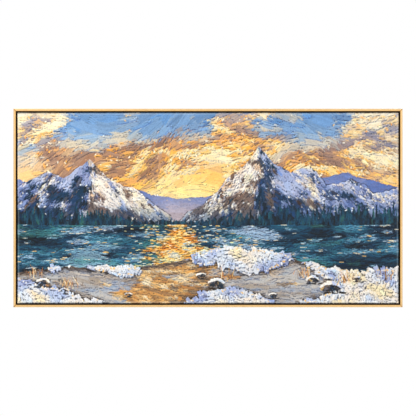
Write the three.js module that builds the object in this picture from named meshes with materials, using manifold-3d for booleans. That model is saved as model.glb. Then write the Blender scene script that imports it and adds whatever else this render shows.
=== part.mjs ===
// A wide oil painting on stretched canvas, in a slim gilt floater frame.
//
// Millimetres, +Z up. The picture faces -Y and hangs with its back on the plane y = 0.
// The origin is the middle of the top rail's back face. Parts are built round the picture's
// own middle, and one group moves that middle to its place below the origin.

import * as THREE from "three";
import { mergeVertices } from "three/addons/utils/BufferGeometryUtils.js";
import Module from "manifold-3d";

const wasm = await Module();
wasm.setup();

// ---------- driving dimensions ----------

const CANVAS_WIDTH = 1200;
const CANVAS_HEIGHT = 600;

const FRAME_DEPTH = 42;
const FACE = 8; // width of the gilt face
const SHADOW_GAP = 4.5; // black gap between the frame and the canvas
const FLANGE_REACH = 34.5; // from the frame's outer side to the flange's inner edge
const FLANGE_THICK = 8;
const FACE_ROUND = 0.9; // rounded edges of the gilt face
const EDGE_CUT = 0.8; // small flats on the other edges

const FIT = 0.3; // play between pieces that touch
const CLOTH = 0.6; // primed cotton canvas
const FOLD = 18; // canvas turned over onto the back of the stretcher

const BAR_WIDTH = 38; // stretcher bars
const BAR_DEPTH = 26.5;
const BAR_SLOPE = 3; // how far the bar's inner edge falls away from the cloth
const BAR_BEAD = 7; // width of the raised bead that carries the cloth
const BAR_ROUND = 1.5; // rounded outer edge under the cloth's fold
const CROSS_BAR_DEPTH = 18;

const PAINT_BASE = 0.9; // thinnest paint
const PAINT_RELIEF = 2.6; // highest knife ridge above that
const PAINT_COLUMNS = 40;
const PAINT_ROWS = 20;

const SCREW_INSET = 24; // from the frame's outer side, through flange, cloth and bar
const SCREW_LENGTH = 24;
const SCREW_HEAD = 4;
const SCREW_SHANK = 1.75;
const SCREW_SINK = 0.1;
const SCREWS_LONG = 4; // screws along a long side
const SCREWS_SHORT = 2;

const HANGER_WIDTH = 46;
const HANGER_HEIGHT = 10;
const HANGER_SHEET = 1.2;
const HANGER_STAND = 2; // how far the toothed middle stands off the bar
const HANGER_FOOT = 8; // flat end that is nailed down
const HANGER_SPACING = 800;
const TEETH = 9;
const TOOTH_EDGE = 1; // plain edge left at each end of the teeth
const NOTCH_WIDTH = 0.92; // of the teeth's pitch
const NOTCH_DEPTH = 0.8; // of the teeth's pitch
const NAIL_HEAD = 2.2;
const NAIL_SHANK = 0.7;
const NAIL_LENGTH = 9;
const NAIL_POINT = 2;
const NAIL_DOME = 0.9;

const SCREW_STEPS = 12; // sides of a screw
const NAIL_STEPS = 8;
const OVERRUN = 1; // how far a cutter passes the face it opens

// ---------- sizes that follow ----------

const FRAME_WIDTH = CANVAS_WIDTH + 2 * (FACE + SHADOW_GAP);
const FRAME_HEIGHT = CANVAS_HEIGHT + 2 * (FACE + SHADOW_GAP);
const BAR_INSET = FACE + SHADOW_GAP + CLOTH + FIT; // frame's outer side to the bar's

const FOLD_BACK = -FLANGE_THICK - FIT; // back of the folded cloth
const BAR_BACK = FOLD_BACK - CLOTH - FIT;
const BAR_FRONT = BAR_BACK - BAR_DEPTH;
const CLOTH_FRONT = BAR_FRONT - FIT - CLOTH;
const PAINT_BACK = CLOTH_FRONT - FIT;

const OPENING_HEIGHT = FRAME_HEIGHT - 2 * (BAR_INSET + BAR_WIDTH); // between the bars

// ---------- places ----------

const LONG_SIDE = {
  length: FRAME_WIDTH,
  reach: FRAME_HEIGHT / 2,
  screws: spread(SCREWS_LONG, CANVAS_WIDTH),
};
const SHORT_SIDE = {
  length: FRAME_HEIGHT,
  reach: FRAME_WIDTH / 2,
  screws: spread(SCREWS_SHORT, CANVAS_HEIGHT),
};
// Each side is built as the top one and turned about Y.
const SIDES = [
  { name: "top", turn: 0, ...LONG_SIDE },
  { name: "right", turn: Math.PI / 2, ...SHORT_SIDE },
  { name: "bottom", turn: Math.PI, ...LONG_SIDE },
  { name: "left", turn: -Math.PI / 2, ...SHORT_SIDE },
];

// Hangers sit on the strip of the top bar that the flange leaves free.
const HANGER_Z = FRAME_HEIGHT / 2 - (FLANGE_REACH + BAR_INSET + BAR_WIDTH) / 2;
const HANGERS = [
  { name: "left", x: -HANGER_SPACING / 2 },
  { name: "right", x: HANGER_SPACING / 2 },
];
const NAIL_RUNS = [-1, 1].map((end) => (end * (HANGER_WIDTH - HANGER_FOOT)) / 2);

// ---------- materials ----------

const finish = (color, roughness, metalness = 0) =>
  new THREE.MeshStandardMaterial({ color, roughness, metalness });

const gilt = finish(0xe9c07c, 0.45, 0.3);
const pine = finish(0xd9bd8f, 0.75);
const cotton = finish(0xe6dfcf, 0.95);
const oilPaint = finish(0x8fa6b4, 0.5);
const zincSteel = finish(0xb9bcc0, 0.35, 0.9);

// ---------- solids ----------

// A closed geometry as a solid that can be cut.
function solidOf(geometry) {
  const bare = geometry.clone();
  bare.deleteAttribute("normal");
  bare.deleteAttribute("uv");
  const merged = mergeVertices(bare, 1e-4);
  return new wasm.Manifold(
    new wasm.Mesh({
      numProp: 3,
      vertProperties: merged.attributes.position.array,
      triVerts: new Uint32Array(merged.index.array),
    }),
  );
}

// The vertices and triangles of a solid as a geometry with flat faces.
function geometryOf(solid) {
  const mesh = solid.getMesh();
  const indexed = new THREE.BufferGeometry();
  indexed.setAttribute("position", new THREE.BufferAttribute(mesh.vertProperties, 3));
  indexed.setIndex(new THREE.BufferAttribute(mesh.triVerts, 1));
  const flat = indexed.toNonIndexed();
  flat.computeVertexNormals();
  return flat;
}

// The geometry with every cutter taken out of it.
function drilled(geometry, cutters) {
  let solid = solidOf(geometry);
  for (const cutter of cutters) {
    solid = solid.subtract(solidOf(cutter));
  }
  return geometryOf(solid);
}

function named(name, geometry, material) {
  const mesh = new THREE.Mesh(geometry, material);
  mesh.name = name;
  return mesh;
}

// A block about the picture's middle, its own middle at depth y.
function block(width, depth, height, y) {
  return new THREE.BoxGeometry(width, depth, height).translate(0, y, 0);
}

// A bar of one picture side with mitred ends. The profile's x is the distance inwards from
// the bar's outer side and its y is the depth. The bar runs along X, reach above the middle.
function mitredBar(profile, length, reach) {
  const geometry = new THREE.ExtrudeGeometry(profile, {
    depth: 1,
    steps: 1,
    curveSegments: 3,
    bevelEnabled: false,
  });
  const place = geometry.attributes.position;
  for (let i = 0; i < place.count; i += 1) {
    const inward = place.getX(i);
    const end = place.getZ(i) > 0.5 ? 1 : -1;
    place.setXYZ(i, end * (length / 2 - inward - FIT / 2), place.getY(i), reach - inward);
  }
  return geometry;
}

// The middles of n equal stretches of a length, about its own middle.
function spread(n, length) {
  return Array.from({ length: n }, (_, i) => ((i + 0.5) / n - 0.5) * length);
}

// A turned piece about the Y axis, from pairs of radius and y.
function turned(pairs, steps) {
  const points = pairs.map(([radius, y]) => new THREE.Vector2(radius, y));
  return new THREE.LatheGeometry(points, steps);
}

// ---------- the frame ----------

// An L: a tall wall whose end is the gilt face, and a flange behind the stretcher.
function railProfile() {
  const shape = new THREE.Shape();
  shape.moveTo(EDGE_CUT, 0);
  shape.lineTo(FLANGE_REACH - EDGE_CUT, 0);
  shape.lineTo(FLANGE_REACH, -EDGE_CUT);
  shape.lineTo(FLANGE_REACH, -FLANGE_THICK);
  shape.lineTo(FACE, -FLANGE_THICK);
  shape.lineTo(FACE, FACE_ROUND - FRAME_DEPTH);
  const middle = FACE_ROUND - FRAME_DEPTH;
  shape.absarc(FACE - FACE_ROUND, middle, FACE_ROUND, 0, -Math.PI / 2, true);
  shape.lineTo(FACE_ROUND, -FRAME_DEPTH);
  shape.absarc(FACE_ROUND, middle, FACE_ROUND, -Math.PI / 2, -Math.PI, true);
  shape.lineTo(0, -EDGE_CUT);
  return shape;
}

// A stretcher bar: flat behind, with a bead along the outer edge that carries the cloth.
function barProfile() {
  const shape = new THREE.Shape();
  shape.moveTo(0, BAR_BACK);
  shape.lineTo(BAR_WIDTH, BAR_BACK);
  shape.lineTo(BAR_WIDTH, BAR_FRONT + BAR_SLOPE);
  shape.lineTo(BAR_BEAD, BAR_FRONT + BAR_SLOPE / 3);
  shape.lineTo(BAR_BEAD - 2 * BAR_ROUND, BAR_FRONT);
  shape.lineTo(BAR_ROUND, BAR_FRONT);
  shape.absarc(BAR_ROUND, BAR_FRONT + BAR_ROUND, BAR_ROUND, -Math.PI / 2, -Math.PI, true);
  return shape;
}

// ---------- fasteners ----------

// A countersunk screw, its head just below the back of the flange.
function screwForm() {
  const neck = SCREW_SHANK - SCREW_HEAD - SCREW_SINK;
  return turned(
    [
      [0, -SCREW_LENGTH],
      [SCREW_SHANK, SCREW_SHANK - SCREW_LENGTH],
      [SCREW_SHANK, neck],
      [SCREW_HEAD, -SCREW_SINK],
      [0, -SCREW_SINK],
    ],
    SCREW_STEPS,
  );
}

// The hole for that screw, which runs past both of its ends.
function screwHole() {
  const shank = SCREW_SHANK + FIT;
  const head = SCREW_HEAD + FIT;
  const bottom = -SCREW_LENGTH - OVERRUN;
  return turned(
    [[0, bottom], [shank, bottom], [shank, shank - head], [head, 0], [head, OVERRUN], [0, OVERRUN]],
    SCREW_STEPS,
  );
}

// A hanger's nail, with a low domed head on the hanger's foot.
function nailForm() {
  const under = BAR_BACK + FIT + HANGER_SHEET + FIT;
  return turned(
    [
      [0, BAR_BACK - NAIL_LENGTH],
      [NAIL_SHANK, BAR_BACK - NAIL_LENGTH + NAIL_POINT],
      [NAIL_SHANK, under],
      [NAIL_HEAD, under],
      [NAIL_HEAD, under + NAIL_DOME / 2],
      [NAIL_HEAD / 2, under + NAIL_DOME],
      [0, under + NAIL_DOME],
    ],
    NAIL_STEPS,
  );
}

// The hole for that nail, through the hanger's foot and into the bar.
function nailHole() {
  const radius = NAIL_SHANK + FIT;
  const bottom = BAR_BACK - NAIL_LENGTH - FIT;
  return turned([[0, bottom], [radius, bottom], [radius, 0], [0, 0]], NAIL_STEPS);
}

// ---------- hangers ----------

// A sawtooth hanger: a strip of sheet steel, nailed at both ends, whose middle stands off
// the bar and has teeth along its lower edge.
function hangerForm() {
  const back = BAR_BACK + FIT;
  const end = HANGER_WIDTH / 2;
  const rise = end - HANGER_FOOT;
  const flat = rise - HANGER_STAND;
  const outline = [
    [-end, back], [-rise, back], [-flat, back + HANGER_STAND],
    [flat, back + HANGER_STAND], [rise, back], [end, back],
  ];
  const lower = outline.map(([x, y]) => new THREE.Vector2(x, y));
  const upper = outline.map(([x, y]) => new THREE.Vector2(x, y + HANGER_SHEET)).reverse();
  const strip = new THREE.ExtrudeGeometry(new THREE.Shape([...lower, ...upper]), {
    depth: HANGER_HEIGHT,
    bevelEnabled: false,
  }).translate(0, 0, -HANGER_HEIGHT / 2);
  const toothed = 2 * (flat - TOOTH_EDGE);
  const pitch = toothed / TEETH;
  const notch = new THREE.Shape([
    new THREE.Vector2((-pitch * NOTCH_WIDTH) / 2, -OVERRUN),
    new THREE.Vector2((pitch * NOTCH_WIDTH) / 2, -OVERRUN),
    new THREE.Vector2(0, pitch * NOTCH_DEPTH),
  ]);
  const through = { depth: HANGER_STAND + 2 * HANGER_SHEET + 2 * OVERRUN, bevelEnabled: false };
  const notches = spread(TEETH, toothed).map((x) =>
    new THREE.ExtrudeGeometry(notch, through)
      .rotateX(Math.PI / 2)
      .translate(x, back + through.depth - OVERRUN, -HANGER_HEIGHT / 2),
  );
  const nailed = NAIL_RUNS.map((run) => nailHole().translate(run, 0, 0));
  return drilled(strip, [...notches, ...nailed]);
}

// The holes of every hanger nail, about the picture's middle.
function allNailHoles() {
  return HANGERS.flatMap(({ x }) =>
    NAIL_RUNS.map((run) => nailHole().translate(x + run, 0, HANGER_Z)),
  );
}

// ---------- the painted canvas ----------

// The screw holes of all four sides, about the picture's middle.
function allScrewHoles() {
  return SIDES.flatMap(({ turn, reach, screws }) =>
    screws.map((run) => screwHole().translate(run, 0, reach - SCREW_INSET).rotateY(turn)),
  );
}

// Cloth pulled over the stretcher: front, four sides and a fold behind, open in the middle.
function clothForm() {
  const depth = FOLD_BACK - CLOTH_FRONT;
  const middle = (FOLD_BACK + CLOTH_FRONT) / 2;
  const sides = 2 * CLOTH;
  const folds = 2 * (CLOTH + FOLD);
  const outer = block(CANVAS_WIDTH, depth, CANVAS_HEIGHT, middle);
  const inner = block(CANVAS_WIDTH - sides, depth - sides, CANVAS_HEIGHT - sides, middle);
  const behind = block(CANVAS_WIDTH - folds, 4 * CLOTH, CANVAS_HEIGHT - folds, FOLD_BACK);
  return drilled(outer, [inner, behind, ...allScrewHoles()]);
}

// Height of the thick paint above its base, from 0 to 1: thin in the sky at the top, broad
// slanting ridges on the mountains, flat water with low ripples, and mounds on the shore.
function paintHeight(x, z) {
  const high = z / (CANVAS_HEIGHT / 2);
  const across = x / (CANVAS_WIDTH / 2);
  const bell = (value, middle, width) => Math.exp(-(((value - middle) / width) ** 2));
  const ridges = Math.abs(Math.sin(7 * across + 5 * high * Math.sign(across - 0.25)));
  const sky = 0.18 * (1 + Math.sin(6 * across - 4 * high)) * bell(high, 0.85, 0.4);
  const peaks = (0.35 + 0.6 * ridges) * bell(high, 0.22, 0.3);
  const water = 0.1 * (1 + Math.sin(24 * high)) * bell(high, -0.32, 0.2);
  const shore = (0.3 + 0.3 * Math.sin(9 * across + 6 * high) ** 2) * bell(high, -0.8, 0.3);
  return Math.min(1, sky + peaks + water + shore);
}

function paintForm() {
  const geometry = new THREE.BoxGeometry(
    CANVAS_WIDTH,
    PAINT_BASE,
    CANVAS_HEIGHT,
    PAINT_COLUMNS,
    1,
    PAINT_ROWS,
  );
  const place = geometry.attributes.position;
  for (let i = 0; i < place.count; i += 1) {
    if (place.getY(i) < 0) {
      const relief = PAINT_RELIEF * paintHeight(place.getX(i), place.getZ(i));
      place.setY(i, place.getY(i) - relief);
    }
  }
  return geometry.translate(0, PAINT_BACK - PAINT_BASE / 2, 0);
}

// ---------- assembly ----------

const picture = new THREE.Group();
picture.position.z = FLANGE_REACH / 2 - FRAME_HEIGHT / 2;

for (const { name, turn, length, reach, screws } of SIDES) {
  const side = new THREE.Group();
  side.rotation.y = turn;
  const screwLine = reach - SCREW_INSET;
  const screwHoles = screws.map((run) => screwHole().translate(run, 0, screwLine));

  const rail = mitredBar(railProfile(), length, reach);
  side.add(named(`frame_rail_${name}`, drilled(rail, screwHoles), gilt));

  const bar = mitredBar(barProfile(), length - 2 * BAR_INSET, reach - BAR_INSET);
  const nailHoles = name === "top" ? allNailHoles() : [];
  side.add(named(`stretcher_bar_${name}`, drilled(bar, [...screwHoles, ...nailHoles]), pine));

  screws.forEach((run, i) => {
    const screw = named(`frame_screw_${name}_${i + 1}`, screwForm(), zincSteel);
    screw.position.set(run, 0, screwLine);
    side.add(screw);
  });
  picture.add(side);
}

const crossBar = block(
  BAR_WIDTH,
  CROSS_BAR_DEPTH,
  OPENING_HEIGHT - 2 * FIT,
  BAR_BACK - CROSS_BAR_DEPTH / 2,
);
picture.add(named("stretcher_cross_bar", crossBar, pine));
picture.add(named("canvas", clothForm(), cotton));
picture.add(named("paint_layer", paintForm(), oilPaint));

for (const { name, x } of HANGERS) {
  const fitting = new THREE.Group();
  fitting.position.set(x, 0, HANGER_Z);
  fitting.add(named(`hanger_${name}`, hangerForm(), zincSteel));
  NAIL_RUNS.forEach((run, i) => {
    const nail = named(`hanger_nail_${name}_${i + 1}`, nailForm(), zincSteel);
    nail.position.x = run;
    fitting.add(nail);
  });
  picture.add(fitting);
}

export default picture;
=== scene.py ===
# %% [markdown]
# # A framed oil painting
#
# The object is a wide canvas, painted thickly with a palette knife and set in a slim gilt
# floater frame. It hangs with its back on the plane y = 0 and faces -Y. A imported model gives
# every piece's place and size. This script adds what the eye sees: the relief and colour of
# the paint, the gilding, the cloth, the wood and the steel.

import math

import bmesh
import bpy
import numpy as np
from mathutils import Matrix, Vector


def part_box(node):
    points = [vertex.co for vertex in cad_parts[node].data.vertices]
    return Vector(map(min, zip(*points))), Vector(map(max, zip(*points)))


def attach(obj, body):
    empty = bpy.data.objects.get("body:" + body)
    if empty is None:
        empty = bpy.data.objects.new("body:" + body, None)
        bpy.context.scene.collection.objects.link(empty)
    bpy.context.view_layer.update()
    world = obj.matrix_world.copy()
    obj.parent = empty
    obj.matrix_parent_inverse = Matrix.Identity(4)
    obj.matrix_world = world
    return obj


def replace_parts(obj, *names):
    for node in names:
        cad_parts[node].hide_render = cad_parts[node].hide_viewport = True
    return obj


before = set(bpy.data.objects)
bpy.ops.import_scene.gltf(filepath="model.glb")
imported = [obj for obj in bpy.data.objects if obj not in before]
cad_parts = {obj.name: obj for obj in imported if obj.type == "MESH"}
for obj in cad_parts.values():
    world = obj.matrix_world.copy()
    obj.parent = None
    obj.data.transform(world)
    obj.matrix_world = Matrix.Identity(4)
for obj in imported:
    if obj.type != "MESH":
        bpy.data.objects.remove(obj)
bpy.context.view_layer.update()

# %% [markdown]
# ## Measures
#
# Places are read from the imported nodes, so nothing here is fitted by eye. Only the section of
# the moulding has sizes that no box can tell: the width of its face and how thick its flange
# is. They are written down once, in millimetres.

# %% Sizes of the frame and the canvas
MM = 0.001

FACE = 8 * MM  # width of the gilt face
FLANGE = 8 * MM  # thickness of the flange behind the stretcher
CLOTH = 0.6 * MM
FOLD = 18 * MM  # cloth turned over onto the back of the stretcher
HAIRLINE = 0.15 * MM  # half of the joint between two mitred rails
NEAR = MM / 100  # two places nearer than this are the same
SHARP = math.radians(35)  # an edge that turns more than this stays crisp
RIGHT_ANGLE = math.radians(90)

rail_low, rail_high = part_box("frame_rail_top")
side_low, side_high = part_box("frame_rail_right")
cloth_low, cloth_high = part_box("canvas")
PAINT_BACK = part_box("paint_layer")[1].y

MIDDLE = Vector((0, 0, (side_low.z + side_high.z) / 2))
FRAME_W = 2 * side_high.x
FRAME_H = side_high.z - side_low.z + 2 * HAIRLINE
FRAME_DEPTH = rail_high.y - rail_low.y
REACH = rail_high.z - rail_low.z  # how far a rail's flange reaches inwards
CANVAS_W = cloth_high.x - cloth_low.x
CANVAS_H = cloth_high.z - cloth_low.z
print("frame", FRAME_W, FRAME_H, FRAME_DEPTH, "canvas", CANVAS_W, CANVAS_H)

# %% [markdown]
# ## Small helpers
#
# Colours are written as the hex values that a screen shows, and shaders need them linear, so
# one function turns them. Another adds a shader node, sets it and wires it, which keeps a
# material as short as its description. The others turn a bmesh into an object, and the object
# into a finished piece: it rides on the part's only body, and it takes the finish that the
# record names.

# %% Colour, node and piece helpers
def linear(code):
    """The linear RGBA of an sRGB hex colour."""
    parts = [int(code[i : i + 2], 16) / 255 for i in (1, 3, 5)]
    return [p / 12.92 if p <= 0.04045 else ((p + 0.055) / 1.055) ** 2.4 for p in parts] + [1]


def add(material, kind, inputs=None, stops=None, **settings):
    """Adds a node to a material, or to the world, with its settings and its inputs' values.

    An input that is given a socket is linked to it, and one that is given a node is linked to
    the node's first output.
    """
    node = material.node_tree.nodes.new("ShaderNode" + kind)
    for name, value in settings.items():
        setattr(node, name, value)
    for socket, value in (inputs or {}).items():
        if isinstance(value, bpy.types.Node):
            value = value.outputs[0]
        if isinstance(value, bpy.types.NodeSocket):
            material.node_tree.links.new(value, node.inputs[socket])
        else:
            node.inputs[socket].default_value = value
    while stops and len(node.color_ramp.elements) < len(stops):
        node.color_ramp.elements.new(0.5)
    for element, (place, colour) in zip(node.color_ramp.elements if stops else [], stops or []):
        element.position = place
        element.color = linear(colour) if isinstance(colour, str) else (colour, colour, colour, 1)
    return node


def new_material(name):
    """A material with an empty node tree."""
    material = bpy.data.materials.new(name)
    material.use_nodes = True
    material.node_tree.nodes.clear()
    return material


def place_in_scene(name, data):
    """An object that holds the data, linked into the scene."""
    thing = bpy.data.objects.new(name, data)
    bpy.context.collection.objects.link(thing)
    return thing


def made_of(name, form, materials=()):
    """A mesh object made of a bmesh, which is used up, and wearing the materials."""
    mesh = bpy.data.meshes.new(name)
    form.to_mesh(mesh)
    form.free()
    for material in materials:
        mesh.materials.append(material)
    return place_in_scene(name, mesh)


def piece(name, form, materials, shading="smooth"):
    """A piece of the object: flat, smooth, or crisp, which is smooth between sharp edges."""
    thing = made_of(name, form, materials)
    if shading != "flat":
        thing.data.shade_smooth()
    if shading == "crisp":
        thing.data.set_sharp_from_angle(angle=SHARP)
    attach(thing, "root")
    return thing


def everything(form):
    """All of a bmesh's geometry, as its operators want it."""
    return form.verts[:] + form.edges[:] + form.faces[:]


def only(kind, geometry):
    """The vertices, edges or faces among what an operator returned."""
    return [g for g in geometry if isinstance(g, kind)]


def resurface(node, material):
    """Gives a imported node, whose shape is right as it is, a better material."""
    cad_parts[node].data.materials.clear()
    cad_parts[node].data.materials.append(material)


# %% [markdown]
# ## Camera
#
# The picture is looked at straight on, from far enough that its sides stay hidden. A long
# lens from six metres does that, and it keeps the sides of the frame parallel. The lens
# follows from the distance and from how wide a view the square image has to take in.

# %% Camera
DISTANCE = 6.0
VIEW_WIDTH = 1309.3 * MM  # what the image takes in at the frame's front

camera = place_in_scene("camera", bpy.data.cameras.new("camera"))
camera.data.lens = camera.data.sensor_width * DISTANCE / VIEW_WIDTH
camera.location = (0, rail_low.y - DISTANCE, MIDDLE.z)
camera.rotation_euler = (RIGHT_ANGLE, 0, 0)
camera.data.clip_end = 100  # metres, past the floor's far edge
bpy.context.scene.camera = camera
print("lens", round(camera.data.lens, 1))

# %% [markdown]
# ## Stage and light
#
# The picture hangs over a pale floor that fades into a white surround, so it can be looked at
# from behind as well as from the front. The surround stands for the soft boxes of a studio,
# which the gilding mirrors. It looks white to the camera, but it gives less light than that,
# because thick paint only looks thick when one lamp outshines the rest: a key to the upper
# left rakes over the surface, a weaker lamp fills from the right, and one lights the back.

# %% The floor
FLOOR_Z = MIDDLE.z - 1.6  # metres below the picture's middle
FLOOR_RADIUS = 8.0
FADE_FROM = 0.3 * FLOOR_RADIUS

floor = bmesh.new()
bmesh.ops.create_circle(floor, cap_ends=True, radius=FLOOR_RADIUS, segments=96)
bmesh.ops.translate(floor, verts=floor.verts, vec=(0, 0, FLOOR_Z))

paper = new_material("white_studio_paper")
where = add(paper, "TexCoord").outputs["Object"]
from_middle = add(paper, "VectorMath", {0: where}, operation="LENGTH").outputs["Value"]
fade = add(
    paper, "MapRange",
    {
        "Value": from_middle, "From Min": FADE_FROM, "From Max": FLOOR_RADIUS,
        "To Min": 1, "To Max": 0,
    },
)
paper_grain = add(paper, "TexNoise", {"Vector": where, "Scale": 1 / (25 * MM), "Detail": 4})
paper_bump = add(paper, "Bump", {"Height": paper_grain, "Strength": 0.1, "Distance": MM})
paper_shader = add(
    paper, "BsdfPrincipled",
    {"Base Color": linear("#FCFCFB"), "Roughness": 0.9, "Alpha": fade, "Normal": paper_bump},
)
add(paper, "OutputMaterial", {"Surface": paper_shader})

made_of("studio_floor", floor, [paper])
print("floor at", round(FLOOR_Z, 3), "m")


# %% Lights
def soft_box(name, place, size, watts, colour):
    """A square area light that looks at the picture's middle."""
    lamp = bpy.data.lights.new(name, "AREA")
    lamp.shape = "SQUARE"
    lamp.size = size
    lamp.energy = watts
    lamp.color = linear(colour)[:3]
    holder = place_in_scene(name, lamp)
    holder.location = place
    holder.rotation_euler = (MIDDLE - Vector(place)).to_track_quat("-Z", "Y").to_euler()
    holder.visible_camera = False


soft_box("raking_key", (-1.8, -1.3, 2.4), 0.8, 160, "#FFFAF2")
soft_box("right_fill", (2.8, -3.2, 0.6), 1.8, 40, "#F2F6FF")
soft_box("back_fill", (1.5, 3.5, 2.6), 2.0, 140, "#FFFFFF")

world = bpy.data.worlds.new("studio_surround")
world.use_nodes = True
world.node_tree.nodes.clear()
GIVEN, SEEN = 0.57, 1.0  # the light that the surround gives, and how it looks to the camera
ray = add(world, "LightPath").outputs["Is Camera Ray"]
strength = add(world, "MapRange", {"Value": ray, "To Min": GIVEN, "To Max": SEEN})
surround = add(world, "Background", {"Color": linear("#FFFFFF"), "Strength": strength})
add(world, "OutputWorld", {"Surface": surround})
bpy.context.scene.world = world
bpy.context.scene.view_settings.view_transform = "Standard"

# %% [markdown]
# ## The gilt frame
#
# A floater frame is made of four mitred rails. Each is an L in section: a tall wall whose end
# is the gilt face, and a flange that the stretcher is screwed to. The moulding is milled from
# wood, its face and outer side are covered with gold-coloured leaf under satin lacquer, the
# inside of the L is sprayed matt black, so that the gap round the canvas reads as a shadow,
# and the back stays bare. The section is drawn as one face and pushed out along X, two planes
# cut the mitres, and a bevel rounds the long edges as sanding and leaf do.

# %% One rail, built as the top one
FACE_ROUND = 0.9 * MM
ARRIS = 0.7 * MM  # sanded edges behind
HALF = 10.0  # added to a map on the right half of a rail, so that its ends can be told apart
GILT, BLACK, BARE = 0, 1, 2  # the rail's materials

SECTION = [
    (0, 0),
    (REACH, 0),
    (REACH, -FLANGE),
    (FACE, -FLANGE),
    (FACE, -FRAME_DEPTH),
    (0, -FRAME_DEPTH),
]


def long_edges(form, corners):
    """The edges along X that start at one of the section's corners, given as (z, y)."""
    chosen = []
    for edge in form.edges:
        a, b = (v.co for v in edge.verts)
        straight = abs(a.y - b.y) + abs(a.z - b.z) < NEAR
        if straight and any(abs(a.z - z) + abs(a.y - y) < NEAR for z, y in corners):
            chosen.append(edge)
    return chosen


def rail_form(length, reach):
    """A mitred rail along X whose outer side is reach above the picture's middle."""
    form = bmesh.new()
    drawn = [form.verts.new((-length / 2, y, reach - inward)) for inward, y in SECTION]
    pushed = bmesh.ops.extrude_face_region(form, geom=[form.faces.new(drawn)])["geom"]
    bmesh.ops.translate(form, verts=only(bmesh.types.BMVert, pushed), vec=(length, 0, 0))
    lip = [(reach, -FRAME_DEPTH), (reach - FACE, -FRAME_DEPTH)]
    behind = [(reach, 0), (reach - REACH, 0), (reach - REACH, -FLANGE)]
    for corners, size, steps in ((lip, FACE_ROUND, 5), (behind, ARRIS, 2)):
        bmesh.ops.bevel(
            form, geom=long_edges(form, corners), offset=size, segments=steps, profile=0.5,
            affect="EDGES", material=-1,
        )
    for side in (-1, 1):
        cut = bmesh.ops.bisect_plane(
            form,
            geom=everything(form),
            plane_co=(side * (length / 2 - HAIRLINE), 0, reach),
            plane_no=(side, 0, -1),
            clear_outer=True,
        )["geom_cut"]
        bmesh.ops.contextual_create(form, geom=only(bmesh.types.BMEdge, cut))
    bmesh.ops.bisect_plane(form, geom=everything(form), plane_co=(0, 0, 0), plane_no=(1, 0, 0))
    bmesh.ops.recalc_face_normals(form, faces=form.faces)
    return form


# %% [markdown]
# The leaf, the black spray and the bare wood are told apart by where a face of the rail lies.
# A map called "run" is laid on it at the same time: along it counts the distance from the
# mitre, and across it counts the way round the section from the outer lip. Brush marks, the
# painted light and shade across the face and the outer side, and the line of filler in the joint
# all follow that map.

# %% What each face of a rail wears, and its map
def dress_rail(form, length, reach):
    """Sets each face's material and its place on the map called run."""
    run = form.loops.layers.uv.new("run")
    for face in form.faces:
        middle = face.calc_center_median()
        inward = reach - middle.z
        at_end = abs(face.normal.x) > 0.5
        if at_end or face.normal.y > 0.3 or inward > REACH - ARRIS:
            face.material_index = BARE
        elif inward > FACE - MM / 10 and middle.y > FACE_ROUND / 2 - FRAME_DEPTH:
            face.material_index = BLACK
        else:
            face.material_index = GILT
        for loop in face.loops:
            x, y, z = loop.vert.co
            from_joint = length / 2 - (reach - z) - abs(x)
            half = HALF if middle.x > 0 else 0
            loop[run].uv = (from_joint + half, (reach - z) - (y + FRAME_DEPTH))


SIDES = {
    "top": (0, FRAME_W, FRAME_H / 2),
    "right": (90, FRAME_H, FRAME_W / 2),
    "bottom": (180, FRAME_W, FRAME_H / 2),
    "left": (-90, FRAME_H, FRAME_W / 2),
}

# %% [markdown]
# ### Gilding
#
# Imitation leaf over a coloured ground, under satin lacquer. The leaf is a metal, so it
# mirrors the studio softly, and the lacquer evens it. Across the face the colour goes from a
# paler, greyer gold on the outer half to a warmer one inside. This is painted light and shade
# for how light falls on a slightly concave face. The outer side is painted a darker, browner gold
# towards the back, as painted shade. Fine lengthwise marks come from the brush, and the
# mitres show a hairline of darker filler.

# %% Gilding material
BRUSH_MARK = MM / 1.4  # width of one mark of the brush, which is a hundred times as long

leaf = new_material("lacquered_gold_leaf")
run = add(leaf, "UVMap", uv_map="run")
place = add(leaf, "SeparateXYZ", {"Vector": run})
from_joint = add(leaf, "Math", {0: place.outputs["X"], 1: HALF}, operation="MODULO")
marks = (0.01 / BRUSH_MARK, 1 / BRUSH_MARK, 1)
stretch = add(leaf, "VectorMath", {0: run, 1: marks}, operation="MULTIPLY")
brushed = add(leaf, "TexNoise", {"Vector": stretch, "Scale": 1, "Detail": 4})
cloudy = add(leaf, "TexNoise", {"Vector": run, "Scale": 1 / (22 * MM), "Detail": 5})
across = add(
    leaf, "MapRange", {"Value": place.outputs["Y"], "From Min": -FRAME_DEPTH, "From Max": FACE}
)
# Leaf colours round the section. The darker, browner gold on the outer side is painted shade, and the
# paler outer half of the face against the warmer inner half is painted light and shade. The last stops
# are the black spray of the inner lip.
LEAF_TONES_AND_PAINTED_SHADE = (
    (-FRAME_DEPTH, "#A97B42"),
    (-3 * MM, "#BE8F55"),
    (0, "#DDB884"),
    (1.3 * MM, "#EFCB93"),
    (3.9 * MM, "#F1CD93"),
    (4.5 * MM, "#FACE88"),
    (6.8 * MM, "#F6C67E"),
    (7.1 * MM, "#B98A4E"),
    (7.4 * MM, "#2A2219"),
)
leaf_with_painted_shading = add(
    leaf,
    "ValToRGB",
    {"Fac": across},
    stops=[((y + FRAME_DEPTH) / (FACE + FRAME_DEPTH), tone) for y, tone in LEAF_TONES_AND_PAINTED_SHADE],
)
clouding = add(
    leaf, "MapRange", {"Value": cloudy, "From Min": 0.45, "From Max": 0.75, "To Max": 0.4}
)
tinted = add(leaf, "Mix", {0: clouding, 6: leaf_with_painted_shading, 7: linear("#D9A35C")}, data_type="RGBA")
streaks = add(
    leaf, "MapRange", {"Value": brushed, "From Min": 0.5, "From Max": 0.8, "To Max": 0.22}
)
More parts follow.
